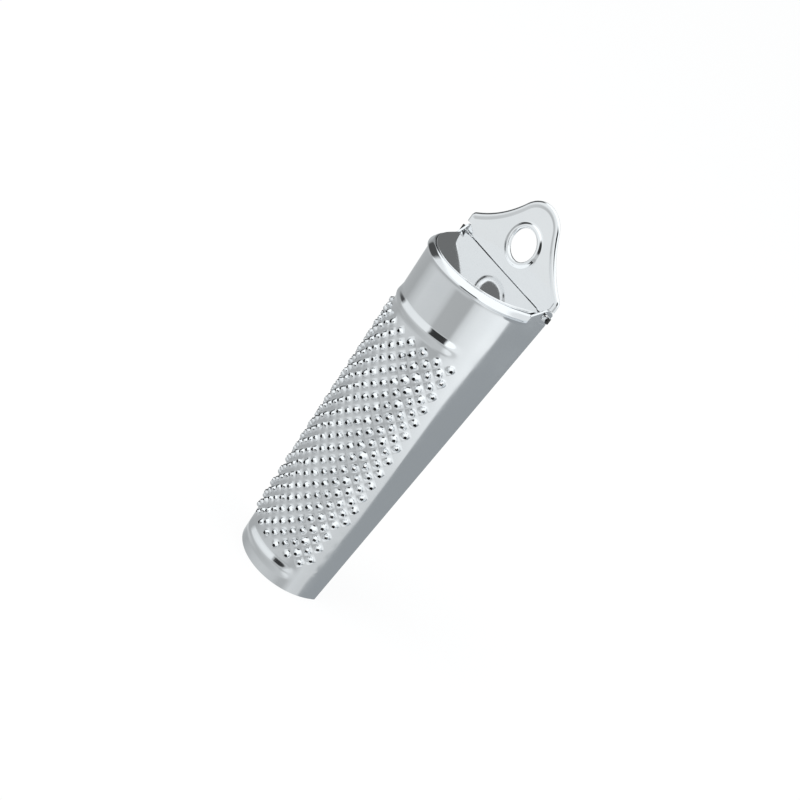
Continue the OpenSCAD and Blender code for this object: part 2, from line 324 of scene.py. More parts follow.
def add_ear(sheet, sign):
    """The rounded ear that stands on a side wall's top edge and carries a lug of the lid."""
    ear_r, hole_r, ear_foot, ear_sunk = 2.4, 0.95, 116.7, 0.5
    shy, back_shy, edge = 0.01, 0.1, 0.12
    back_angle, front_angle = math.radians(31.2), math.radians(145.0)
    arc_cuts, hole_cuts = 16, 24
    pivot_s = along_wall(pivot_y, pivot_z)
    start, stop = along_wall(pivot_y - ear_front, body_h), along_wall(back_rim - back_shy, body_h)

    def around_pivot(radius, angle):
        return pivot_s + radius * math.cos(angle), pivot_z + radius * math.sin(angle)

    outline = [(start, body_h - ear_sunk), (stop, body_h - ear_sunk)]
    for k in range(arc_cuts + 1):
        outline.append(around_pivot(ear_r, back_angle + (front_angle - back_angle) * k / arc_cuts))
    outline.append((start, ear_foot))
    hole = [around_pivot(hole_r, -math.tau * k / hole_cuts) for k in range(hole_cuts)]
    points, faces = cut_plate([outline, hole], shy - sheet_t, -shy, edge)
    index = [sheet.point(sign * (nose_r(z) * turn + s), z, h) for s, z, h in points]
    for face in faces:
        ring = [index[k] for k in face]
        sheet.faces.append(ring if sign > 0 else ring[::-1])


def build_flat_sheet():
    """The whole flat sheet but for the diamonds of the lattice: bands, beads, edges, rim and ears."""
    sheet = FlatSheet()
    side, low, top = fill_lattice_borders(sheet)
    roll_cuts, ear_cuts = 9, 4
    roll_end = nose_r(body_h) * turn + along_wall(pivot_y - ear_front, body_h)
    roll_share = (roll_end - side) / (sheet_edge(body_h) - side)
    shares = [roll_share * k / roll_cuts for k in range(1, roll_cuts + 1)]
    shares += [roll_share + (1 - roll_share) * k / ear_cuts for k in range(1, ear_cuts + 1)]

    def wall_column(share, sign):
        return lambda z: sign * (side + share * (sheet_edge(min(z, body_h)) - side))

    def fixed(values):
        return [(lambda z, v=v: v) for v in values]

    def spread(points, cuts):
        out = [points[0]]
        for a, b in zip(points, points[1:]):
            out += [a + (b - a) * k / cuts for k in range(1, cuts + 1)]
        return out

    marks = [-side, *[s * half_gap for s in range(-tooth_steps, tooth_steps + 1, 2)], side]
    coarse = spread(marks, cell_cuts)
    fine = fixed(spread(coarse, 2))
    left = [wall_column(s, -1) for s in shares[::-1]]
    right = [wall_column(s, 1) for s in shares]
    left_side, right_side = [*left, *fixed([-side])], [*fixed([side]), *right]
    across = [*left, *fine, *right]

    # the strips beside the teeth, on both faces of the sheet
    heights = [low, *[low + half_pitch + tooth_pitch * k for k in range(tooth_rows)], top]
    heights = spread(heights, cell_cuts)
    for columns in (left_side, right_side):
        for h, flip in ((0.0, False), (-sheet_t, True)):
            sheet.rows(columns, [[(z, h) for z in heights]] * len(columns), flip=flip)

    def refine(z, z_next, surface, flip):
        """A row of three-sided faces from the lattice's wide columns to the beads' narrow ones."""
        for a, b in zip(coarse, coarse[1:]):
            ends = [(u, z, surface(u, z)) for u in (a, b)]
            past = [(u, z_next, surface(u, z_next)) for u in (a, (a + b) / 2, b)]
            sheet.face(ends[0], ends[1], past[1], flip=flip)
            sheet.face(ends[0], past[1], past[0], flip=flip)
            sheet.face(ends[1], past[2], past[1], flip=flip)

    def inner_face(u, z):
        return bead_bulge(u, z) - sheet_t

    def lay_band(rows, downward):
        """Both faces of the sheet from the lattice's edge along rows that run up or down."""
        for surface, flip in ((bead_bulge, downward), (inner_face, not downward)):
            refine(rows[0], rows[1], surface, flip)
            for columns, part in ((across, rows[1:]), (left_side, rows[:2]), (right_side, rows[:2])):
                paths = [[(z, surface(u(z), z)) for z in part] for u in columns]
                sheet.rows(columns, paths, flip=flip)

    def steep_rows(bead, cuts):
        """Close rows from a bead's crest to its top."""
        bead_top, crest = bead[:2]
        return [crest + (bead_top - crest) * k / cuts for k in range(cuts + 1)]

    # above the teeth: plain band, bead, plain band
    gentle_up = [95.3, 95.8, 96.3, 96.7, 97.1, 97.5]
    z_up = [top, *gentle_up, *steep_rows(upper_bead, 13), 100.6, 102.5, 105.0, 108.0, 111.0, 113.0, lip_z]
    lay_band(z_up, downward=False)

    # below the teeth: plain band, bead and the foot edge
    foot_edge = 0.12
    gentle_down = [5.8, 5.4, 5.0, 4.6, 4.2, 3.8, 3.2]
    z_down = [low, 9.07, *steep_rows(foot_bead, 14)[::-1], *gentle_down, 2.4, 1.4, 0.5, foot_edge]
    lay_band(z_down, downward=True)
    foot_path = [(foot_edge, 0.0), (0.0, -foot_edge), (0.0, -sheet_t + foot_edge), (foot_edge, -sheet_t)]
    sheet.rows(across, [foot_path] * len(across), flip=True)

    # the rim: rolled outward, running out towards the ears, and a plain cut edge behind them
    turn_out = [(lip_z, 0.0), (114.2, 0.04), (114.4, 0.18), (114.58, 0.38), (114.74, 0.54), (114.9, 0.63)]
    slope = [
        (115.04, 0.66), (115.18, 0.64), (115.32, 0.58), (115.48, 0.49), (115.7, 0.35), (115.95, 0.19),
        (116.2, 0.02),
    ]
    crest = [
        (116.43, -0.14), (116.62, -0.29), (116.78, -0.45), (116.88, -0.6), (116.92, -0.75),
        (116.87, -0.88), (116.7, -0.97),
    ]
    turn_in = [
        (116.4, -1.0), (115.6, -1.0), (114.9, -0.98), (114.5, -0.9), (114.25, -0.78), (lip_z, -sheet_t),
    ]
    rim_path = [*turn_out, *slope, *crest, *turn_in]
    taper = [1.0, 1.0, 1.0, 1.0, 1.0, 0.92, 0.7, 0.4, 0.12]
    rolled = [*taper[::-1], *[1.0] * len(fine), *taper]
    rim_paths = [[(z, h if h < 0 else h * share) for z, h in rim_path] for share in rolled]
    sheet.rows([*left[ear_cuts:], *fine, *right[:roll_cuts]], rim_paths)
    cut_low, cut_high, cut_edge = 115.4, 115.44, 0.06
    cut_path = [
        (lip_z, 0.0), (cut_low, 0.0), (cut_high, 0.0), (body_h, -cut_edge),
        (body_h, -sheet_t + cut_edge), (cut_high, -sheet_t), (cut_low, -sheet_t), (lip_z, -sheet_t),
    ]
    for columns in (left[:ear_cuts + 1], right[roll_cuts - 1:]):
        sheet.rows(columns, [cut_path] * len(columns))
    ends = ((left[ear_cuts], left[0], False), (right[roll_cuts - 1], right[-1], True))
    for roll_stop, back_end, flip in ends:
        sheet.face(*[(roll_stop(z), z, h) for z, h in rim_paths[0]], flip=flip)
        sheet.face(*[(roll_stop(z), z, h) for z, h in cut_path], flip=not flip)
        sheet.face(*[(back_end(z), z, h) for z, h in cut_path], flip=flip)
        sheet.face(*[(back_end(z), z, h) for z, h in foot_path], flip=not flip)
    for sign in (-1, 1):
        add_ear(sheet, sign)

    # the cut back edges
    z_all = sorted({round(z, 4) for z in [*z_up, *z_down, *heights]})
    for column, flip in ((left[0], True), (right[-1], False)):
        for a, b in zip(z_all, z_all[1:]):
            near, far = (column(a), a), (column(b), b)
            sheet.face((*near, 0.0), (*near, -sheet_t), (*far, -sheet_t), (*far, 0.0), flip=flip)
    return sheet


def new_mesh(name, points, faces):
    mesh = bpy.data.meshes.new(name)
    mesh.from_pydata(points, [], faces)
    return mesh


def lay_out(name, data):
    """A new object in the scene, at the origin."""
    made = bpy.data.objects.new(name, data)
    bpy.context.scene.collection.objects.link(made)
    return made


def build_cell(name, loops, hole_rings):
    """One diamond of the flat sheet. Each loop is (radius, reach of its four petals, height, their lift)."""
    corners = [(half_gap, 0.0), (0.0, half_pitch), (-half_gap, 0.0), (0.0, -half_pitch)]
    rim = []
    for a, b in zip(corners, corners[1:] + corners[:1]):
        for k in range(cell_cuts):
            rim.append((a[0] + (b[0] - a[0]) * k / cell_cuts, a[1] + (b[1] - a[1]) * k / cell_cuts))
    count = len(rim)
    points = [(x * MM, y * MM, 0.0) for x, y in rim]
    for radius, petal, height, lift in loops:
        for x, y in rim:
            angle = math.atan2(y, x)
            wave = math.cos(4 * angle + math.pi)
            r = radius + petal * wave
            points.append((r * math.cos(angle) * MM, r * math.sin(angle) * MM, (height + lift * wave) * MM))
    points += [(x * MM, y * MM, -sheet_t * MM) for x, y in rim]
    faces = []
    for ring in range(len(loops) + 1):
        for k in range(count):
            a, b = ring * count + k, ring * count + (k + 1) % count
            faces.append((a, b, b + count, a + count))
    mesh = new_mesh(name, points, faces)
    pierced = mesh.attributes.new("pierced", "BOOLEAN", "FACE")
    pierced.data.foreach_set("value", [k // count in hole_rings for k in range(len(faces))])
    return lay_out(name, mesh)


def build_blank_cell(name):
    """A diamond of the flat sheet that the punch leaves plain."""
    sheet = FlatSheet()
    sheet.triangle((-half_gap, 0.0), (half_gap, 0.0), (0.0, half_pitch), False)
    sheet.triangle((-half_gap, 0.0), (half_gap, 0.0), (0.0, -half_pitch), True)
    return lay_out(name, new_mesh(name, sheet.points, sheet.faces))


class NodeSketch:
    """Short ways to place and wire nodes in one Geometry Nodes tree."""

    def __init__(self, name):
        self.tree = bpy.data.node_groups.new(name, "GeometryNodeTree")
        self.tree.interface.new_socket("Geometry", in_out="INPUT", socket_type="NodeSocketGeometry")
        self.tree.interface.new_socket("Geometry", in_out="OUTPUT", socket_type="NodeSocketGeometry")
        self.ids = {}

    def sizes(self, kind, *names):
        for name in names:
            socket = self.tree.interface.new_socket(name, in_out="INPUT", socket_type=kind)
            self.ids[name] = socket.identifier

    def begin(self):
        self.given = self.tree.nodes.new("NodeGroupInput").outputs
        self.result = self.tree.nodes.new("NodeGroupOutput").inputs

    def wire(self, value, socket):
        if isinstance(value, bpy.types.NodeSocket):
            self.tree.links.new(value, socket)
        else:
            socket.default_value = value

    def put(self, kind, **inputs):
        node = self.tree.nodes.new(kind)
        for name, value in inputs.items():
            self.wire(value, node.inputs[name.replace("_", " ")])
        return node

    def math(self, operation, first, second=0.0):
        return add_math(self.tree, operation, first, second)


def make_punch_and_bend():
    """Punches the lattice of teeth into the flat sheet and bends it round the nose."""
    g = NodeSketch("punch_and_bend")
    g.sizes("NodeSocketFloat", "Tooth Gap", "Tooth Pitch", "Tooth Top", "Least Height", "Most Height")
    g.sizes("NodeSocketFloat", "Field Low", "Field Foot", "Field Rise", "Weld")
    g.sizes("NodeSocketFloat", "Foot Radius", "Taper", "Turn", "Axis Depth")
    g.sizes("NodeSocketVector", "Lean Low", "Lean High")
    g.sizes("NodeSocketInt", "Columns", "Rows", "Seed")
    g.sizes("NodeSocketObject", "Tooth", "Plain")
    g.sizes("NodeSocketMaterial", "Steel", "Painted Shade Steel")
    g.begin()
    given = g.given

    # lattice: every second column is half a pitch lower
    index = g.put("GeometryNodeInputIndex").outputs["Index"]
    column = g.math("MODULO", index, given["Columns"])
    row = g.math("FLOOR", g.math("DIVIDE", index, given["Columns"]))
    step = g.math("SUBTRACT", column, g.math("FLOOR", g.math("DIVIDE", given["Columns"], 2.0)))
    odd = g.math("MODULO", g.math("ABSOLUTE", step), 2.0)
    along = g.math("MULTIPLY", step, g.math("DIVIDE", given["Tooth Gap"], 2.0))
    drop = g.math("MULTIPLY", g.math("ADD", row, g.math("MULTIPLY", odd, 0.5)), given["Tooth Pitch"])
    up = g.math("SUBTRACT", given["Tooth Top"], drop)
    spot = g.put("ShaderNodeCombineXYZ", X=along, Y=up).outputs["Vector"]
    count = g.math("MULTIPLY", given["Columns"], given["Rows"])
    points = g.put("GeometryNodePoints", Count=count, Position=spot)
    limit = g.math("ADD", given["Field Foot"], g.math("MULTIPLY", given["Field Rise"], up))
    kept = g.math("GREATER_THAN", up, given["Field Low"])
    toothed = g.math("MULTIPLY", g.math("LESS_THAN", g.math("ABSOLUTE", along), limit), kept)

    # the punch never cuts twice alike, so each tooth keeps its own height and lean
    chance = g.put("FunctionNodeRandomValue", Seed=given["Seed"])
    g.wire(given["Least Height"], chance.inputs["Min"])
    g.wire(given["Most Height"], chance.inputs["Max"])
    slip = g.tree.nodes.new("FunctionNodeRandomValue")
    slip.data_type = "FLOAT_VECTOR"
    g.wire(given["Lean Low"], slip.inputs["Min"])
    g.wire(given["Lean High"], slip.inputs["Max"])
    g.wire(given["Seed"], slip.inputs["Seed"])
    captured = g.tree.nodes.new("GeometryNodeCaptureAttribute")
    captured.capture_items.new("FLOAT", "Tallness")
    captured.capture_items.new("VECTOR", "Slip")
    g.wire(points.outputs["Points"], captured.inputs["Geometry"])
    g.wire(chance.outputs["Value"], captured.inputs["Tallness"])
    g.wire(slip.outputs["Value"], captured.inputs["Slip"])
    placed = captured.outputs["Geometry"]
    cells = g.put("GeometryNodeJoinGeometry")
    for name, chosen in (("Tooth", toothed), ("Plain", g.math("SUBTRACT", kept, toothed))):
        shape = g.put("GeometryNodeObjectInfo", Object=given[name]).outputs["Geometry"]
        laid = g.put("GeometryNodeInstanceOnPoints", Points=placed, Selection=chosen, Instance=shape)
        g.wire(laid.outputs["Instances"], cells.inputs["Geometry"])
    loose = g.put("GeometryNodeRealizeInstances", Geometry=cells.outputs["Geometry"]).outputs["Geometry"]
    place = g.put("GeometryNodeInputPosition").outputs["Position"]
    axes = g.put("ShaderNodeSeparateXYZ", Vector=place).outputs
    risen = g.math("MAXIMUM", axes["Z"], 0.0)
    extra = g.math("MULTIPLY", risen, g.math("SUBTRACT", captured.outputs["Tallness"], 1.0))
    way = g.put("ShaderNodeSeparateXYZ", Vector=captured.outputs["Slip"]).outputs
    aside, ahead = g.math("MULTIPLY", risen, way["X"]), g.math("MULTIPLY", risen, way["Y"])
    offset = g.put("ShaderNodeCombineXYZ", X=aside, Y=ahead, Z=extra).outputs["Vector"]
    teeth = g.put("GeometryNodeSetPosition", Geometry=loose, Offset=offset).outputs["Geometry"]
    whole = g.put("GeometryNodeJoinGeometry")
    g.wire(teeth, whole.inputs["Geometry"])
    g.wire(given["Geometry"], whole.inputs["Geometry"])
    welded = g.put("GeometryNodeMergeByDistance", Geometry=whole.outputs["Geometry"], Distance=given["Weld"])

    # bend: an arc as far as the turn, and straight on from there
    radius = g.math("ADD", given["Foot Radius"], g.math("MULTIPLY", axes["Y"], given["Taper"]))
    arc = g.math("MULTIPLY", radius, given["Turn"])
    bent = g.math("MAXIMUM", g.math("MINIMUM", axes["X"], arc), g.math("MULTIPLY", arc, -1.0))
    straight = g.math("SUBTRACT", axes["X"], bent)
    angle = g.math("DIVIDE", bent, radius)
    out = g.math("ADD", radius, axes["Z"])
    sine, cosine = g.math("SINE", angle), g.math("COSINE", angle)
    x = g.math("ADD", g.math("MULTIPLY", out, sine), g.math("MULTIPLY", straight, cosine))
    y = g.math("SUBTRACT", g.math("MULTIPLY", straight, sine), g.math("MULTIPLY", out, cosine))
    y = g.math("ADD", y, given["Axis Depth"])
    arched = g.put("ShaderNodeCombineXYZ", X=x, Y=y, Z=axes["Y"]).outputs["Vector"]
    shaped = g.put("GeometryNodeSetPosition", Geometry=welded.outputs["Geometry"], Position=arched)
    smooth = g.put("GeometryNodeSetShadeSmooth", Geometry=shaped.outputs["Geometry"])
    solid = g.put("GeometryNodeRealizeInstances", Geometry=smooth.outputs["Geometry"])
    dressed = g.put("GeometryNodeSetMaterial", Geometry=solid.outputs["Geometry"], Material=given["Steel"])
    # painted shade: the faces inside each punched hole take the near-black steel, standing in for the shade
    # in the holes
    pierced = g.tree.nodes.new("GeometryNodeInputNamedAttribute")
    pierced.data_type = "BOOLEAN"
    g.wire("pierced", pierced.inputs["Name"])
    hole_shade = g.put("GeometryNodeSetMaterial", Geometry=dressed.outputs["Geometry"], Material=given["Painted Shade Steel"])
    g.wire(pierced.outputs["Attribute"], hole_shade.inputs["Selection"])
    g.wire(hole_shade.outputs["Geometry"], g.result["Geometry"])
    return g


def punched_and_bent(sheet, tooth, plain):
    """The finished mesh of the body, from its flat sheet and the two kinds of diamond."""
    last_half_row = tooth_rows - 0.75
    flat = lay_out("flat_sheet", new_mesh("flat_sheet", sheet.points, sheet.faces))
    sketch = make_punch_and_bend()
    modifier = flat.modifiers.new("punch_and_bend", "NODES")
    modifier.node_group = sketch.tree
    sizes = {
        "Tooth Gap": tooth_gap * MM,
        "Tooth Pitch": tooth_pitch * MM,
        "Tooth Top": tooth_top * MM,
        "Field Low": (tooth_top - tooth_pitch * last_half_row) * MM,
        "Field Foot": field_foot * MM,
        "Field Rise": field_rise,
        "Least Height": 0.88,
        "Most Height": 1.08,
        "Lean Low": (-0.24, -0.24, 0.0),
        "Lean High": (0.24, 0.24, 0.0),
        "Weld": 0.04 * MM,
        "Foot Radius": foot_r * MM,
        "Taper": (rim_r - foot_r) / body_h,
        "Turn": turn,
        "Axis Depth": axis_y * MM,
        "Columns": 2 * tooth_steps + 1,
        "Rows": tooth_rows,
        "Seed": 7,
        "Tooth": tooth,
        "Plain": plain,
        "Steel": body_steel,
        "Painted Shade Steel": painted_shade_steel,
    }
    for name, value in sizes.items():
        modifier[sketch.ids[name]] = value
    evaluated = flat.evaluated_get(bpy.context.evaluated_depsgraph_get())
    made = bpy.data.meshes.new_from_object(evaluated)
    flat.modifiers.remove(modifier)
    for used in (flat, tooth, plain):
        bpy.data.objects.remove(used)
    return made


tooth = build_cell(
    "tooth",
    [
        (1.66, 0.0, 0.0, 0.0),
        (1.16, 0.0, 0.2, 0.0),
        (0.94, 0.02, 0.66, 0.03),
        (0.52, 0.06, 1.1, 0.12),
        (0.4, 0.06, -0.25, 0.0),
        (0.8, 0.0, -sheet_t, 0.0),
    ],
    hole_rings=(4, 5),
)
plain = build_blank_cell("plain")
body_mesh = punched_and_bent(build_flat_sheet(), tooth, plain)
body_mesh.name = "grater_body_sheet"
body_mesh.set_sharp_from_angle(angle=math.radians(35))
body = lay_out("grater_body_sheet", body_mesh)
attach(body, "body")
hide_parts("grater_body")


# The compartment floor is a shallow tray of plain sheet, pushed in upside down and soldered
# with its turned-down skirt against the body. It isn't polished, as only the nutmegs touch it.
inner_steel = make_steel(
    "plain_steel",
    bright=(0.7, 0.71, 0.72), dull=(0.6, 0.61, 0.62), roughness=(0.28, 0.42), grain=2.0, waves=1.5,
)
solder_gap, side_gap = 0.03, 0.02


def arch_outline(r, back, count=48):
    """Plan of the arch with nose radius r, closed at depth back, seen from above, left-handed round."""
    reach = (back + r * math.sin(flank)) / math.cos(flank)
    side = (r * math.cos(flank) + reach * math.sin(flank), back)
    arc = [-turn + 2 * turn * k / count for k in range(count + 1)]
    return [(-side[0], back), *[(r * math.sin(a), -r * math.cos(a)) for a in arc], side]


def make_piece(name, points, faces, material):
    """A piece from points in millimetres, smooth but for its cut edges."""
    mesh = new_mesh(name, [tuple(c * MM for c in p) for p in points], faces)
    mesh.materials.append(material)
    mesh.shade_smooth()
    mesh.set_sharp_from_angle(angle=math.radians(40))
    return lay_out(name, mesh)


def build_tray():
    """Top plate, a rounded turn and a skirt with a cut lower edge, as loops from the inside out."""
    top_z, skirt, metal, bend = 97.4, 2.8, 0.7, 0.9
    plate_room, shoulder = 1.15, 1.3
    foot_z = top_z - skirt
    plan = arch_outline(nose_r(top_z) - sheet_t - solder_gap, back_y(foot_z) - plate_room)
    loops = [(shoulder * bend, top_z), (bend, top_z)]
    for angle in (30, 60, 90):
        a = math.radians(angle)
        loops.append((bend * (1 - math.sin(a)), top_z - bend * (1 - math.cos(a))))
    loops += [(side_gap, foot_z), (metal, foot_z), (metal, top_z - bend), (bend, top_z - metal)]
    points, faces, count = [], [], len(plan)
    for distance, z in loops:
        points += [(x, y + axis_y, z) for x, y in inset(plan, distance)]
    for ring in range(len(loops) - 1):
        for k in range(count):
            a, b = ring * count + k, ring * count + (k + 1) % count
            faces.append((a, a + count, b + count, b))
    faces += fill_flat(points, [list(range(count))], True)
    faces += fill_flat(points, [list(range(len(points) - count, len(points)))], False)
    return points, faces


tray = make_piece("compartment_tray", *build_tray(), inner_steel)
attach(tray, "body")
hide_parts("compartment_floor")


# The back plate closes the compartment between the side walls. It is a flat blank of the same plain
# sheet, set just inside the slanting back edges and soldered along its sides.
def build_back_plate():
    slant = math.atan((back_foot + back_rim) / body_h)
    inset_y, metal, edge, low, high = 0.4, 0.7, 0.12, 94.4, 115.8
    middle = (inset_y + metal / 2) / math.cos(slant)

    def corner(z, sign):
        y = back_y(z) - middle
        r = nose_r(z) - sheet_t - solder_gap
        x = r * math.cos(flank) + (y + r * math.sin(flank)) * math.tan(flank)
        return sign * (x - side_gap), z / math.cos(slant)

    outline = [corner(low, -1), corner(low, 1), corner(high, 1), corner(high, -1)]
    points, faces = cut_plate([outline], -metal / 2, metal / 2, edge)
    placed = []
    for x, up, out in points:
        y = -back_foot - middle + up * math.sin(slant) - out * math.cos(slant)
        placed.append((x, y + axis_y, up * math.cos(slant) + out * math.sin(slant)))
    return placed, faces


back = make_piece("compartment_back", *build_back_plate(), inner_steel)
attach(back, "body")
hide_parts("back_plate")


# The lid is a flat D-shaped plate that falls a little towards the nose and lies just inside the rolled
# rim. It is polished brighter than the body, so that it mirrors the tab. A flat lug at each end of its
# fold turns in an ear, and its end is twisted upright, with a painted shade on its faces that don't face up.
lid_steel = make_steel(
    "mirror_steel",
    bright=(0.9, 0.905, 0.91), dull=(0.86, 0.87, 0.88), roughness=(0.04, 0.08), grain=0.5, waves=0.15,
)
lid_t, lid_z, tab_lean = 0.7, 117.25, math.radians(2.0)
ear_x, ear_inner = 20.714, 19.794  # the ears' outer and inner faces at the hinge
relief = 2.4  # how far the fold stops short of an ear


def on_tab(x, up, out):
    """A point of the tab's own plane, placed in the grater."""
    y = pivot_y + axis_y + up * math.sin(tab_lean) - out * math.cos(tab_lean)
    return x, y, pivot_z + up * math.cos(tab_lean) + out * math.sin(tab_lean)


def build_lid():
    """The plate with its cut back corners, the thin strip of the fold, and the lugs."""
    crease_gap, lid_r, lid_edge, edge_round, fall = 1.0, 17.92, 1.1, 0.15, math.radians(2.0)
    cut_x, cut_y = 2.2, 1.2
    fold_y, fold_z = pivot_y - crease_gap, lid_z + lid_t

    def sloped(x, y, z):
        ahead = y - fold_y
        new_y = fold_y + ahead * math.cos(fall) - z * math.sin(fall)
        return x, new_y, fold_z + ahead * math.sin(fall) + z * math.cos(fall)

    plan = arch_outline(lid_r, fold_y)
    wide = plan[-1][0]
    corner = [(wide - cut_y * math.tan(flank), fold_y - cut_y), (wide - cut_x, fold_y)]
    plan = [*[(-x, y) for x, y in corner[::-1]], *plan[1:-1], *corner]
    points, faces = cut_plate([plan], -lid_edge, 0.0, edge_round)
    points = [sloped(*p) for p in points]

    strip_lap, strip_room, strip_low, strip_high, strip_round = 0.1, 0.3, 0.02, 0.16, 0.04
    half, front, rear = ear_inner - relief, fold_y - strip_lap, pivot_y - strip_room
    outline = [(-half, front), (half, front), (half, rear), (-half, rear)]
    strip, strip_faces = cut_plate([outline], lid_z + strip_low, lid_z + strip_high, strip_round)
    faces += [tuple(len(points) + k for k in face) for face in strip_faces]
    points = [(x, y + axis_y, z) for x, y, z in points + strip]

    # each lug: a tongue through the ear and its twisted end, as (low, high, rear, front) of their sections
    lug_root, lug_neck, lug_out, lug_lap, lug_round = 3.0, 0.9, 1.8, 0.15, 0.12
    tongue, twisted = (-0.5, 0.35, -0.7, 0.7), (-0.95, 0.95, -0.3, 0.3)
    neck = ear_x + lug_neck
    bars = ((tongue, ear_inner - lug_root, neck), (twisted, neck - lug_lap, ear_x + lug_out))
    for sign in (-1, 1):
        for (low, high, rear, front), near, far in bars:
            section = [(low, rear), (high, rear), (high, front), (low, front)]
            bar, bar_faces = cut_plate([section], *sorted((sign * near, sign * far)), lug_round)
            start = len(points)
            points += [on_tab(x, up, out) for up, out, x in bar]
            faces += [tuple(start + k for k in face) for face in bar_faces]
    return points, faces


lid = make_piece("lid_plate", *build_lid(), lid_steel)
lid.data.materials.append(painted_shade_steel)
shade_from, facing_up_lit = (ear_x + 0.6) * MM, 0.5
# painted shade: the lug ends' faces that don't face up take the near-black steel, and their upward faces stay
# bright
for face in lid.data.polygons:
    face.material_index = int(abs(face.center.x) > shade_from and face.normal.z < facing_up_lit)
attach(lid, "lid")
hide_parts("lid")


# The hanging tab is the rest of the lid's sheet, turned up at the fold: a bell-shaped blank with its
# edge rolled into a rounded hem, and a hole whose rim is pressed up into a ring.
shoulder_h, shoulder_r, tab_top_h, tab_top_r, flank_r = 4.6, 2.2, 15.0, 9.0, 37.5
hang_h, hang_r, ear_clear, overhang = 10.1, 5.0, 2.8, 1.3
tab_half = ear_x + overhang


def bell_edge():
    """Points of the tab's edge with the way inward at each, from the right ear over the top to the left."""
    upright_cuts, shoulder_cuts, flank_cuts, crown_cuts = 4, 12, 24, 28
    corner, crown = Vector((tab_half - shoulder_r, shoulder_h)), Vector((0.0, tab_top_h))
    near, far = shoulder_r + flank_r, tab_top_r + flank_r
    gap = (crown - corner).length
    way = (crown - corner) / gap
    along = (near**2 - far**2 + gap**2) / (2 * gap)
    flank_mid = corner + way * along + Vector((way.y, -way.x)) * math.sqrt(near**2 - along**2)
    meet = math.atan2(flank_mid.y - corner.y, flank_mid.x - corner.x)
    part = math.atan2(flank_mid.y - crown.y, flank_mid.x - crown.x)
    edge = []
    for k in range(upright_cuts):
        up = ear_clear + (corner.y - ear_clear) * k / upright_cuts
        edge.append((Vector((tab_half, up)), Vector((-1.0, 0.0))))

    def sweep(middle, radius, start, stop, count, inward):
        for k in range(count):
            angle = start + (stop - start) * k / count
            ray = Vector((math.cos(angle), math.sin(angle)))
            edge.append((middle + ray * radius, ray * inward))

    sweep(corner, shoulder_r, 0.0, meet, shoulder_cuts, -1)
    sweep(flank_mid, flank_r, meet + math.pi, part + math.pi, flank_cuts, 1)
    sweep(crown, tab_top_r, part, math.pi / 2, crown_cuts, -1)
    mirrored = [(Vector((-p.x, p.y)), Vector((-n.x, n.y))) for p, n in edge[::-1]]
    return [*edge, (crown + Vector((0.0, tab_top_r)), Vector((0.0, -1.0))), *mirrored]


def build_tab():
    """Hem and ring as rows of (distance from the edge, height), with flat faces between them."""
    face_n = lid_t / 2
    hem = [
        (0.65, -face_n), (0.5, -face_n), (0.14, -0.31), (0.03, -0.22), (0.0, -0.08), (0.05, 0.08),
        (0.2, 0.25), (0.4, 0.4), (0.62, 0.51), (0.85, 0.565), (1.1, 0.58), (1.35, 0.55), (1.58, 0.48),
        (1.8, 0.405), (1.98, 0.362), (2.08, face_n), (2.16, face_n),
    ]
    ring = [
        (0.35, -face_n), (0.22, -face_n), (0.06, -0.28), (0.0, -0.1), (0.0, 0.6), (0.07, 0.82),
        (0.22, 0.95), (0.48, 1.01), (0.8, 0.98), (1.1, 0.86), (1.36, 0.68), (1.57, 0.51), (1.78, 0.41),
        (2.05, face_n), (2.2, face_n),
    ]
    around, notch, foot_step = 64, 1.1, 0.06
    edge, points, faces = bell_edge(), [], []
    count = len(edge)
    for distance, out in hem:
        points += [(*(p + n * distance), out) for p, n in edge]
    for row in range(len(hem) - 1):
        for k in range(count - 1):
            a = row * count + k
            faces.append((a, a + 1, a + 1 + count, a + count))
    start = len(points)
    for width, out in ring:
        for k in range(around):
            angle, radius = math.tau * k / around, hang_r + width
            points.append((radius * math.cos(angle), hang_h + radius * math.sin(angle), out))
    for row in range(len(ring) - 1):
        for k in range(around):
            a, b = start + row * around + k, start + row * around + (k + 1) % around
            faces.append((a, a + around, b + around, b))
    half = [(ear_inner - relief, -face_n), (ear_inner, notch), (ear_inner, ear_clear + foot_step)]
    feet = [*[(-x, up) for x, up in half[::-1]], *half]
    sides = []
    for out, row, upward in ((face_n, len(hem) - 1, True), (-face_n, 0, False)):
        low = [len(points) + k for k in range(len(feet))]
        points += [(x, up, out) for x, up in feet]
        rim = [row * count + k for k in range(count)]
        hole = [start + (len(ring) - 1 if upward else 0) * around + k for k in range(around)]
        faces += fill_flat(points, [rim + low, hole[::-1]], upward)
        sides.append(low)
    front, rear = sides
    for k in range(len(feet) - 1):
        faces.append((front[k], rear[k], rear[k + 1], front[k + 1]))
    right = [row * count for row in range(len(hem))]
    left = [row * count + count - 1 for row in range(len(hem))]
    faces.append((*right, front[-1], rear[-1]))
    faces.append((*left[::-1], rear[0], front[0]))
    return [on_tab(*p) for p in points], faces


tab = make_piece("hanging_tab_sheet", *build_tab(), lid_steel)
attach(tab, "lid")
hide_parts("hanging_tab")


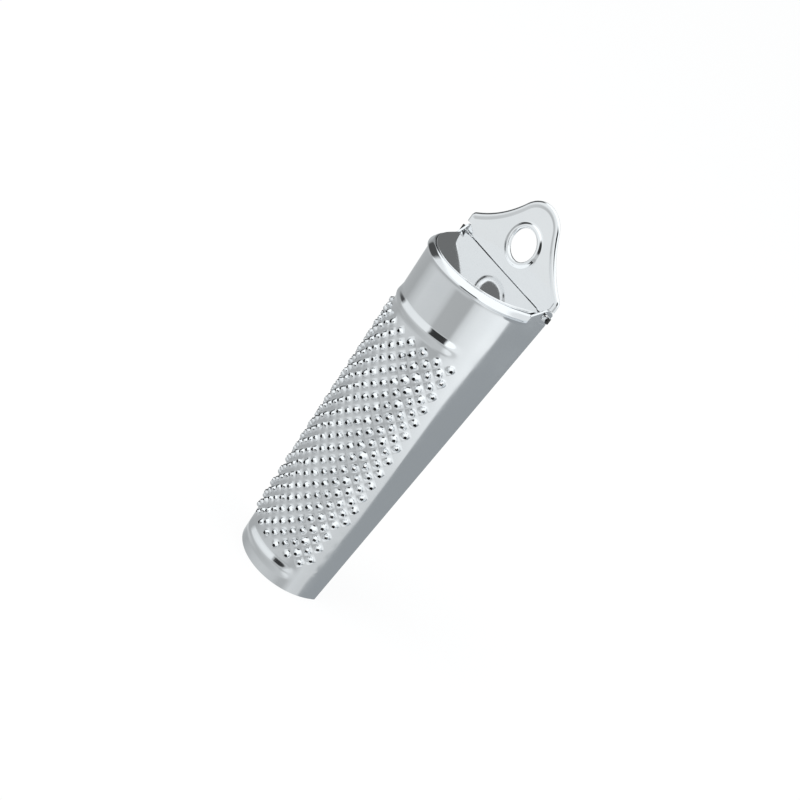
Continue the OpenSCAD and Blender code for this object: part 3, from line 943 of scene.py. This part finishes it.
# The photographer's light tent is what the metal mirrors: white panels with grey gaps between them,
# given here by direction. Its foot is a sweep of pale paper, white to the camera, with a soft shadow,
# and the metal mirrors the tent in its place.
def make_light_tent():
    group = bpy.data.node_groups.new("light_tent", "ShaderNodeTree")
    group.interface.new_socket("Direction", in_out="INPUT", socket_type="NodeSocketVector")
    group.interface.new_socket("Color", in_out="OUTPUT", socket_type="NodeSocketColor")
    nodes, links = group.nodes, group.links
    given = nodes.new("NodeGroupInput").outputs
    result = nodes.new("NodeGroupOutput").inputs
    split = nodes.new("ShaderNodeSeparateXYZ")
    links.new(given["Direction"], split.inputs["Vector"])
    axes = split.outputs
    around = add_math(group, "ARCTAN2", axes["X"], add_math(group, "MULTIPLY", axes["Y"], -1.0))
    around = add_math(group, "ADD", add_math(group, "DIVIDE", around, math.tau), 0.5)

    def ramp(value, stops):
        node = nodes.new("ShaderNodeValToRGB")
        elements = node.color_ramp.elements
        while len(elements) < len(stops):
            elements.new(0.5)
        for element, (position, colour) in zip(elements, stops):
            element.position = position
            element.color = (*colour, 1.0)
        links.new(value, node.inputs["Fac"])
        return node.outputs["Color"]

    def panels(stops, tint=(0.965, 1.0, 1.015)):
        """Panels round the tent, each stop in degrees from the nose, with its level."""
        return ramp(around, [(degrees / 360 + 0.5, [level * t for t in tint]) for degrees, level in stops])

    def band(value, start, stop, below, above):
        step = nodes.new("ShaderNodeMapRange")
        step.interpolation_type = "SMOOTHSTEP"
        step.inputs["From Min"].default_value = start
        step.inputs["From Max"].default_value = stop
        links.new(value, step.inputs["Value"])
        mix = nodes.new("ShaderNodeMix")
        mix.data_type = "RGBA"
        links.new(step.outputs["Result"], mix.inputs["Factor"])
        links.new(below, mix.inputs["A"])
        links.new(above, mix.inputs["B"])
        return mix.outputs["Result"]

    def rising(start, stop, below, above):
        """One row of panels that gives way to the next between two elevations in degrees."""
        return band(axes["Z"], math.sin(math.radians(start)), math.sin(math.radians(stop)), below, above)

    floor = panels([
        (-180, 0.6), (-141, 0.67), (-125, 0.6), (-109, 0.465), (-85, 0.44), (-61, 0.51), (-29, 0.605),
        (-5, 0.64), (27, 0.605), (41, 0.49), (52, 0.49), (66, 0.73), (83, 0.68), (100, 0.68),
    ])
    low = panels([
        (-180, 0.5), (-141, 0.6), (-117, 0.485), (-77, 0.447), (-59, 0.61), (-45, 0.69), (-5, 0.665),
        (3, 0.6), (9, 0.47), (43, 0.46), (50, 0.74), (62, 0.86), (99, 1.0),
    ])
    beyond = panels(
        [(85, 0.36), (128, 0.36), (138, 0.85), (160, 0.8), (165, 0.15), (180, 0.15)],
        tint=(0.93, 1.0, 1.05),
    )
    mid = panels([
        (-180, 0.5), (-140, 0.5), (-116, 0.5), (-105, 0.45), (-72, 0.45), (-62, 0.84), (5, 0.86),
        (12, 0.55), (46, 0.6), (54, 0.9), (100, 1.0), (135, 0.9), (170, 0.8),
    ])
    high = panels([
        (-180, 0.2), (-128, 0.155), (-118, 0.35), (-108, 0.35), (-103, 0.08), (-70, 0.08), (-61, 0.92),
        (6, 0.95), (12, 0.04), (42, 0.04), (48, 1.2), (104, 1.2), (118, 0.9), (165, 0.85), (178, 0.3),
    ])
    ceiling = panels([(-180, 1.2), (180, 1.2)])
    deep = panels([
        (-180, 0.6), (-125, 0.6), (-61, 0.5), (27, 0.6), (46, 0.6), (66, 0.95), (110, 0.95), (150, 0.5),
    ])

    # the white card on the right has a bent edge, so it narrows towards the floor
    depth = add_math(group, "MULTIPLY", axes["Z"], -1.0)
    bends = [
        (0.366, 0.8314), (0.375, 0.828), (0.424, 0.7994), (0.463, 0.7967), (0.4985, 0.7939),
        (0.531, 0.7744), (0.5505, 0.7522), (0.5606, 0.744), (0.62, 0.8), (0.75, 0.88),
    ]
    edge = ramp(depth, [(down, (share, share, share)) for down, share in bends])
    past, soft = add_math(group, "SUBTRACT", around, edge), 0.005
    ground = rising(-34, -22, rising(-46, -37, deep, floor), low)
    card = band(past, -soft, soft, ground, beyond)
    walls = rising(-5, 4, rising(-17.5, -14.5, card, mid), high)
    links.new(rising(30, 40, walls, ceiling), result["Color"])
    return group


light_tent = make_light_tent()


def make_world():
    backdrop = (0.96, 0.96, 0.96, 1.0)
    world = bpy.data.worlds.new("studio")
    bpy.context.scene.world = world
    world.use_nodes = True
    nodes, links = world.node_tree.nodes, world.node_tree.links
    place = nodes.new("ShaderNodeTexCoord")
    tent = nodes.new("ShaderNodeGroup")
    tent.node_tree = light_tent
    links.new(place.outputs["Generated"], tent.inputs["Direction"])
    path = nodes.new("ShaderNodeLightPath")
    seen = nodes.new("ShaderNodeMix")
    seen.data_type = "RGBA"
    seen.inputs["B"].default_value = backdrop
    links.new(path.outputs["Is Camera Ray"], seen.inputs["Factor"])
    links.new(tent.outputs["Color"], seen.inputs["A"])
    links.new(seen.outputs["Result"], nodes["Background"].inputs["Color"])


def make_sweep():
    reach, white_share, paper_white = 4.0, 0.88, (0.9, 0.9, 0.9, 1.0)
    corners = [(-reach, -reach, 0.0), (reach, -reach, 0.0), (reach, reach, 0.0), (-reach, reach, 0.0)]
    sweep = lay_out("sweep", new_mesh("sweep", corners, [(0, 1, 2, 3)]))
    paper = bpy.data.materials.new("paper")
    paper.use_nodes = True
    nodes, links = paper.node_tree.nodes, paper.node_tree.links
    lit = nodes["Principled BSDF"]
    lit.inputs["Base Color"].default_value = paper_white
    lit.inputs["Roughness"].default_value = 0.9
    lit.inputs["Specular IOR Level"].default_value = 0.0
    glow = nodes.new("ShaderNodeEmission")
    path = nodes.new("ShaderNodeLightPath").outputs
    bare = add_math(paper.node_tree, "MULTIPLY", path["Is Camera Ray"], white_share)
    mix = nodes.new("ShaderNodeMixShader")
    links.new(add_math(paper.node_tree, "MAXIMUM", bare, path["Is Transmission Ray"]), mix.inputs["Fac"])
    links.new(lit.outputs["BSDF"], mix.inputs[1])
    links.new(glow.outputs["Emission"], mix.inputs[2])
    links.new(mix.outputs["Shader"], nodes["Material Output"].inputs["Surface"])
    sweep.data.materials.append(paper)
    sweep.visible_glossy = False


make_world()
make_sweep()


# One wide lamp over the left shoulder of the camera gives the soft shadow, and a weaker one
# on the right opens it up. Both point at the middle of the grater, and the metal doesn't mirror them.
def hang_lamp(name, spot, size, watts):
    middle = Vector((0, 0, 0.07))
    lamp = lay_out(name, bpy.data.lights.new(name, "AREA"))
    lamp.data.size = size
    lamp.data.energy = watts
    lamp.location = spot
    lamp.rotation_mode = "QUATERNION"
    lamp.rotation_quaternion = (Vector(spot) - middle).to_track_quat("Z", "Y")
    lamp.visible_glossy = False


hang_lamp("key_lamp", (-0.5, -0.6, 1.1), size=0.8, watts=5.0)
hang_lamp("fill_lamp", (0.9, 0.1, 0.8), size=0.8, watts=2.0)


# The camera stands to the right of the nose and above the lid, turned so that the grater leans
# to the right in the picture. Its place and turn come from matching the grater's outline.
camera = lay_out("camera", bpy.data.cameras.new("camera"))
camera.data.lens = 64.99
camera.data.sensor_width = 36.0
camera.data.clip_start = 0.01
camera.location = (0.23465, -0.31016, 0.25041)
camera.rotation_mode = "QUATERNION"
camera.rotation_quaternion = Quaternion((0.68518, 0.53791, 0.00953, 0.49101))
bpy.context.scene.camera = camera
bpy.context.scene.view_settings.view_transform = "Standard"
